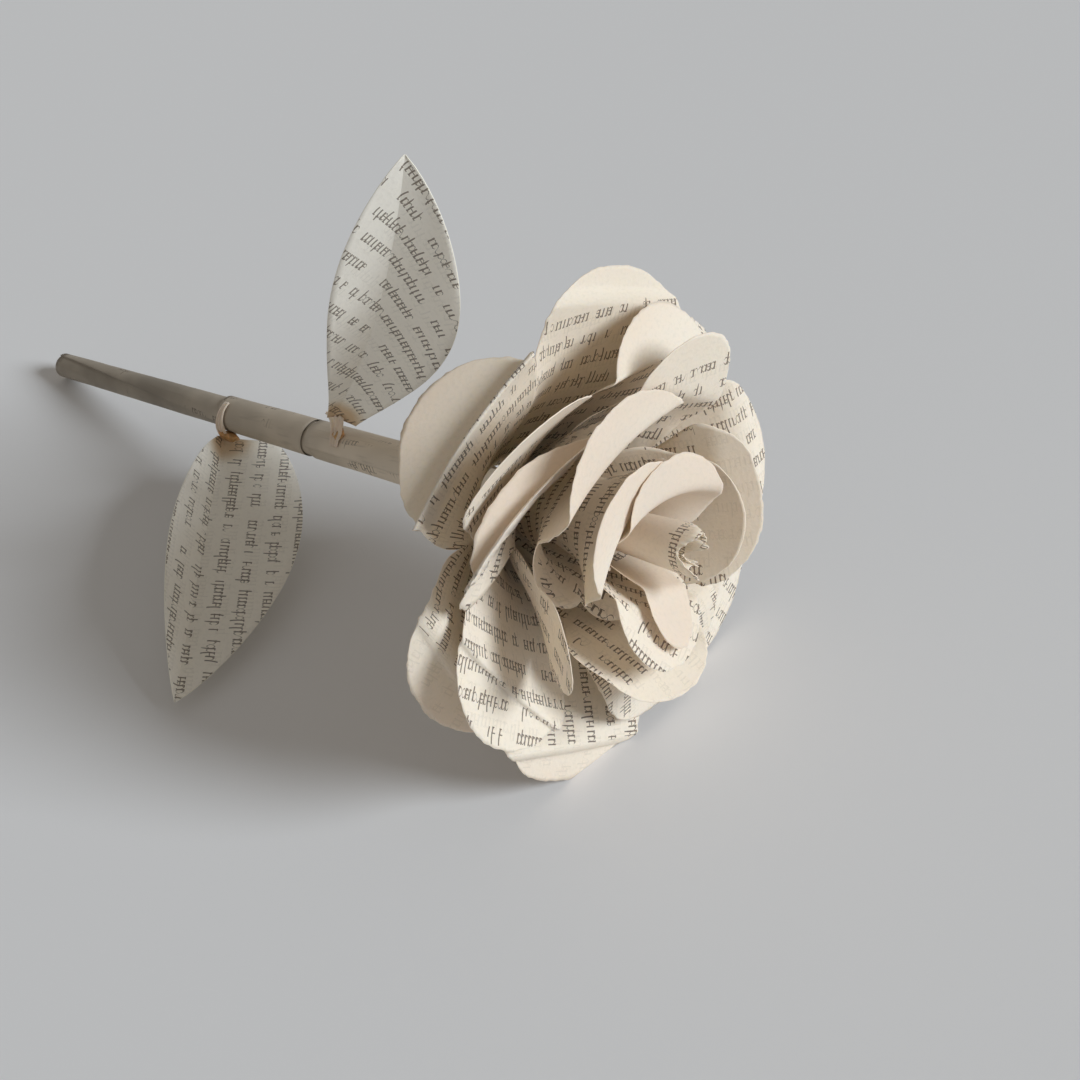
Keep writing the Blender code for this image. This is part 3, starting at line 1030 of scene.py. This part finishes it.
def bead_surface(along, turn, reach, size):
    """A flattened, uneven bead of dried glue against the stem."""
    mesh = new_sheet_mesh()
    bmesh.ops.create_icosphere(mesh, subdivisions=4, radius=1)
    for vert in mesh.verts:
        vert.co *= 1 + BEAD_UNEVEN * noise.noise(vert.co * 1.3 + Vector((along * 900, 0, 0)))
        vert.co = Vector((vert.co.x * size[0], vert.co.y * size[1], vert.co.z * size[2]))
    for face in mesh.faces:
        face.smooth = True
    around = Matrix.Rotation(math.radians(turn), 4, "Z")
    mesh.transform(stem_frame(0) @ around @ Matrix.Translation((reach, 0, along)))
    return mesh


def leaf_half_width(leaf, share, side):
    """Width of one half of the flat leaf at a share of its length."""
    base, widest = leaf.left if side < 0 else leaf.right
    swell = math.sin(math.pi * share**leaf.belly) ** 0.8 if 0 < share < 1 else 0
    return max(base * (1 - share) + (widest - base / 2) * swell, LEAF_TIP)


def leaf_flat(leaf, share, side):
    """Distance of a point of the flat leaf from its crease."""
    return side * leaf_half_width(leaf, share, side)


def leaf_point(leaf, length, share, side):
    """A point of the leaf: share runs up its length, side from -1 to 1 across it."""
    x, z = leaf_flat(leaf, share, side), 0
    if side < 0:
        angle = math.radians(leaf.fold)
        x, z = x * math.cos(angle), -x * math.sin(angle)
    else:
        z = leaf.curl * x * x / leaf.right[1]
    z += 0.0006 * abs(side) * noise.noise(Vector((side * 1.3, share * 5, leaf.fold)))
    arch = 4 * length * share * (1 - share)
    return Vector((leaf.hand * (x + leaf.bow * arch), length * share, z - leaf.droop * arch))


def leaf_frame(leaf):
    """Leaf frame: x across it, y from base to tip, z out of its printed face."""
    base = Vector(leaf.base)
    along = (Vector(leaf.tip) - base).normalized()
    face = Vector(leaf.face)
    face = (face - along * face.dot(along)).normalized()
    across = along.cross(face)
    return design_place() @ columns(across, along, face, base)


def leaf_surface(leaf):
    """A leaf as one sheet, with its fold kept sharp."""
    mesh = new_sheet_mesh()
    length = (Vector(leaf.tip) - Vector(leaf.base)).length
    sides = [-1 + 2 * k / LEAF_COLUMNS for k in range(LEAF_COLUMNS + 1)]
    page = LEAF_PAGES[leaf.name]
    points, pages = [], []
    for i in range(LEAF_ROWS + 1):
        share = i / LEAF_ROWS
        points.append([leaf_point(leaf, length, share, side) for side in sides])
        pages.append([on_page(page, leaf_flat(leaf, share, side), share * length) for side in sides])
    if leaf.hand < 0:
        points = [row[::-1] for row in points]
        pages = [row[::-1] for row in pages]
    add_grid(mesh, points, pages)
    middle = LEAF_COLUMNS // 2
    mesh.verts.ensure_lookup_table()
    width = LEAF_COLUMNS + 1
    on_crease = {mesh.verts[i * width + middle] for i in range(LEAF_ROWS + 1)}
    for edge in mesh.edges:
        if edge.verts[0] in on_crease and edge.verts[1] in on_crease:
            edge.smooth = False
    mesh.transform(leaf_frame(leaf))
    return mesh


def bud_surface():
    """The heart: a strip rolled into a narrow cone with a torn upper edge."""
    mesh = new_sheet_mesh()
    points, pages = [], []
    for i in range(BUD_ROWS + 1):
        row, page = [], []
        for j in range(BUD_STEPS + 1):
            share = j / BUD_STEPS
            tear = 1 + 0.05 * math.sin(9 * share + 1) + 0.04 * math.sin(31 * share)
            tear += 0.010 * noise.noise(Vector((share * 60, 3, 1)))
            along = BUD_START + (BUD_END * tear - BUD_START) * i / BUD_ROWS
            flare = BUD_FLARE + BUD_SPREAD_FLARE * share
            radius = BUD_RADIUS + BUD_SPREAD * share + flare * (along - BUD_START)
            angle = BUD_TURN * share
            row.append((radius * math.cos(angle), radius * math.sin(angle), along))
            page.append((share * 0.05 - HEART_PAGE, HEART_PRINT_FROM - along))
        points.append(row)
        pages.append(page)
    add_grid(mesh, points, pages)
    mesh.transform(stem_frame(FLOWER_APEX))
    return mesh


class ROSE_OT_stem(bpy.types.Operator):
    """Builds the rolled stem and the strips wound round it."""

    bl_idname = "rose.stem"
    bl_label = "Stem"

    def execute(self, context):
        new_piece("rolled_stem", stem_surface(), "stem", ("rolled_paper",))
        for wrap in WRAPS:
            new_piece("look_" + wrap.name, wrap_surface(wrap), wrap.name, WRAP_FINISHES)
        return {"FINISHED"}


class ROSE_OT_leaves(bpy.types.Operator):
    """Builds the two folded leaves."""

    bl_idname = "rose.leaves"
    bl_label = "Leaves"

    def execute(self, context):
        for leaf in LEAVES:
            new_piece("look_" + leaf.name, leaf_surface(leaf), leaf.name, LEAF_FINISHES)
        for neck in NECKS:
            new_piece(neck.name, neck_surface(neck), None, PETAL_FINISHES)
        for name, *place in BEADS:
            new_piece(name, bead_surface(*place), None, ("dried_glue",))
        return {"FINISHED"}


class ROSE_OT_petals(bpy.types.Operator):
    """Builds the rings of petals, each one cut sheet."""

    bl_idname = "rose.petals"
    bl_label = "Petal rings"

    def execute(self, context):
        for ring in RINGS:
            mesh = ring_surface(ring)
            mesh.transform(stem_frame(FLOWER_APEX + ring.apex))
            new_piece("look_" + ring.name, mesh, ring.name, PETAL_FINISHES)
        return {"FINISHED"}


class ROSE_OT_heart(bpy.types.Operator):
    """Builds the torn, rolled heart of the flower."""

    bl_idname = "rose.heart"
    bl_label = "Heart"

    def execute(self, context):
        new_piece("rolled_heart", bud_surface(), "bud_roll", PETAL_FINISHES)
        return {"FINISHED"}


class ROSE_OT_stage(bpy.types.Operator):
    """Sets the pale floor, the soft studio light and the camera."""

    bl_idname = "rose.stage"
    bl_label = "Floor, light and camera"

    def execute(self, context):
        stage = context.scene.rose_stage
        bpy.ops.mesh.primitive_plane_add(size=FLOOR_SIZE)
        floor = context.object
        floor.name = "floor"
        shader = Shader("floor")
        shader.set(Base_Color=tuple(stage.floor), Roughness=0.9)
        floor.data.materials.append(shader.material)
        floor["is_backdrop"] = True
        world = bpy.data.worlds.new("room")
        world.use_nodes = True
        sky = world.node_tree.nodes["Background"]
        sky.inputs["Color"].default_value = SKY_COLOUR
        sky.inputs["Strength"].default_value = stage.sky
        context.scene.world = world
        key = bpy.data.objects.new("key", bpy.data.lights.new("key", "SUN"))
        key.data.energy = stage.key
        key.data.angle = KEY_SPREAD
        key.data.color = KEY_COLOUR
        key.rotation_euler = KEY_FROM.to_track_quat("Z", "Y").to_euler()
        context.scene.collection.objects.link(key)
        camera = bpy.data.objects.new("camera", bpy.data.cameras.new("camera"))
        camera.data.sensor_width = CAMERA_SENSOR
        camera.data.lens = stage.lens
        back = CAMERA_BACK.normalized()
        right = (CAMERA_RIGHT - back * CAMERA_RIGHT.dot(back)).normalized()
        up = back.cross(right)
        place = design_place() @ CAMERA_PLACE
        camera.matrix_world = columns(right, up, back, place)
        context.scene.collection.objects.link(camera)
        context.scene.camera = camera
        context.scene.view_settings.view_transform = "Standard"
        return {"FINISHED"}


class ROSE_PT_panel(bpy.types.Panel):
    """Lists the steps that build the rose."""

    bl_label = "Paper rose"
    bl_idname = "ROSE_PT_panel"
    bl_space_type = "VIEW_3D"
    bl_region_type = "UI"
    bl_category = "Paper rose"

    def draw(self, context):
        for settings in ("rose_paper", "rose_print", "rose_stage"):
            group = getattr(context.scene, settings)
            for key in group.__annotations__:
                self.layout.prop(group, key)
        for step in STEPS:
            self.layout.operator(step.bl_idname)


SETTINGS = {"rose_paper": PaperSettings, "rose_print": PrintSettings, "rose_stage": StageSettings}
STEPS = (ROSE_OT_stem, ROSE_OT_leaves, ROSE_OT_petals, ROSE_OT_heart, ROSE_OT_stage)


def register():
    """Adds the settings, the steps and the panel."""
    for name, group in SETTINGS.items():
        bpy.utils.register_class(group)
        setattr(bpy.types.Scene, name, bpy.props.PointerProperty(type=group))
    for item in STEPS + (ROSE_PT_panel,):
        bpy.utils.register_class(item)


def unregister():
    """Takes away the panel, the steps and the settings."""
    for item in STEPS + (ROSE_PT_panel,):
        bpy.utils.unregister_class(item)
    for name, group in SETTINGS.items():
        delattr(bpy.types.Scene, name)
        bpy.utils.unregister_class(group)


def corners():
    """Lowest and highest corner of what is shown, as plain lists."""
    return [[float(number) for number in corner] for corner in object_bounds()]


def main():
    """Builds the whole rose."""
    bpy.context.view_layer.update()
    register()
    bpy.ops.rose.stem()
    bpy.ops.rose.leaves()
    bpy.ops.rose.petals()
    bpy.ops.rose.heart()
    bpy.ops.rose.stage()


if __name__ == "__main__":
    main()
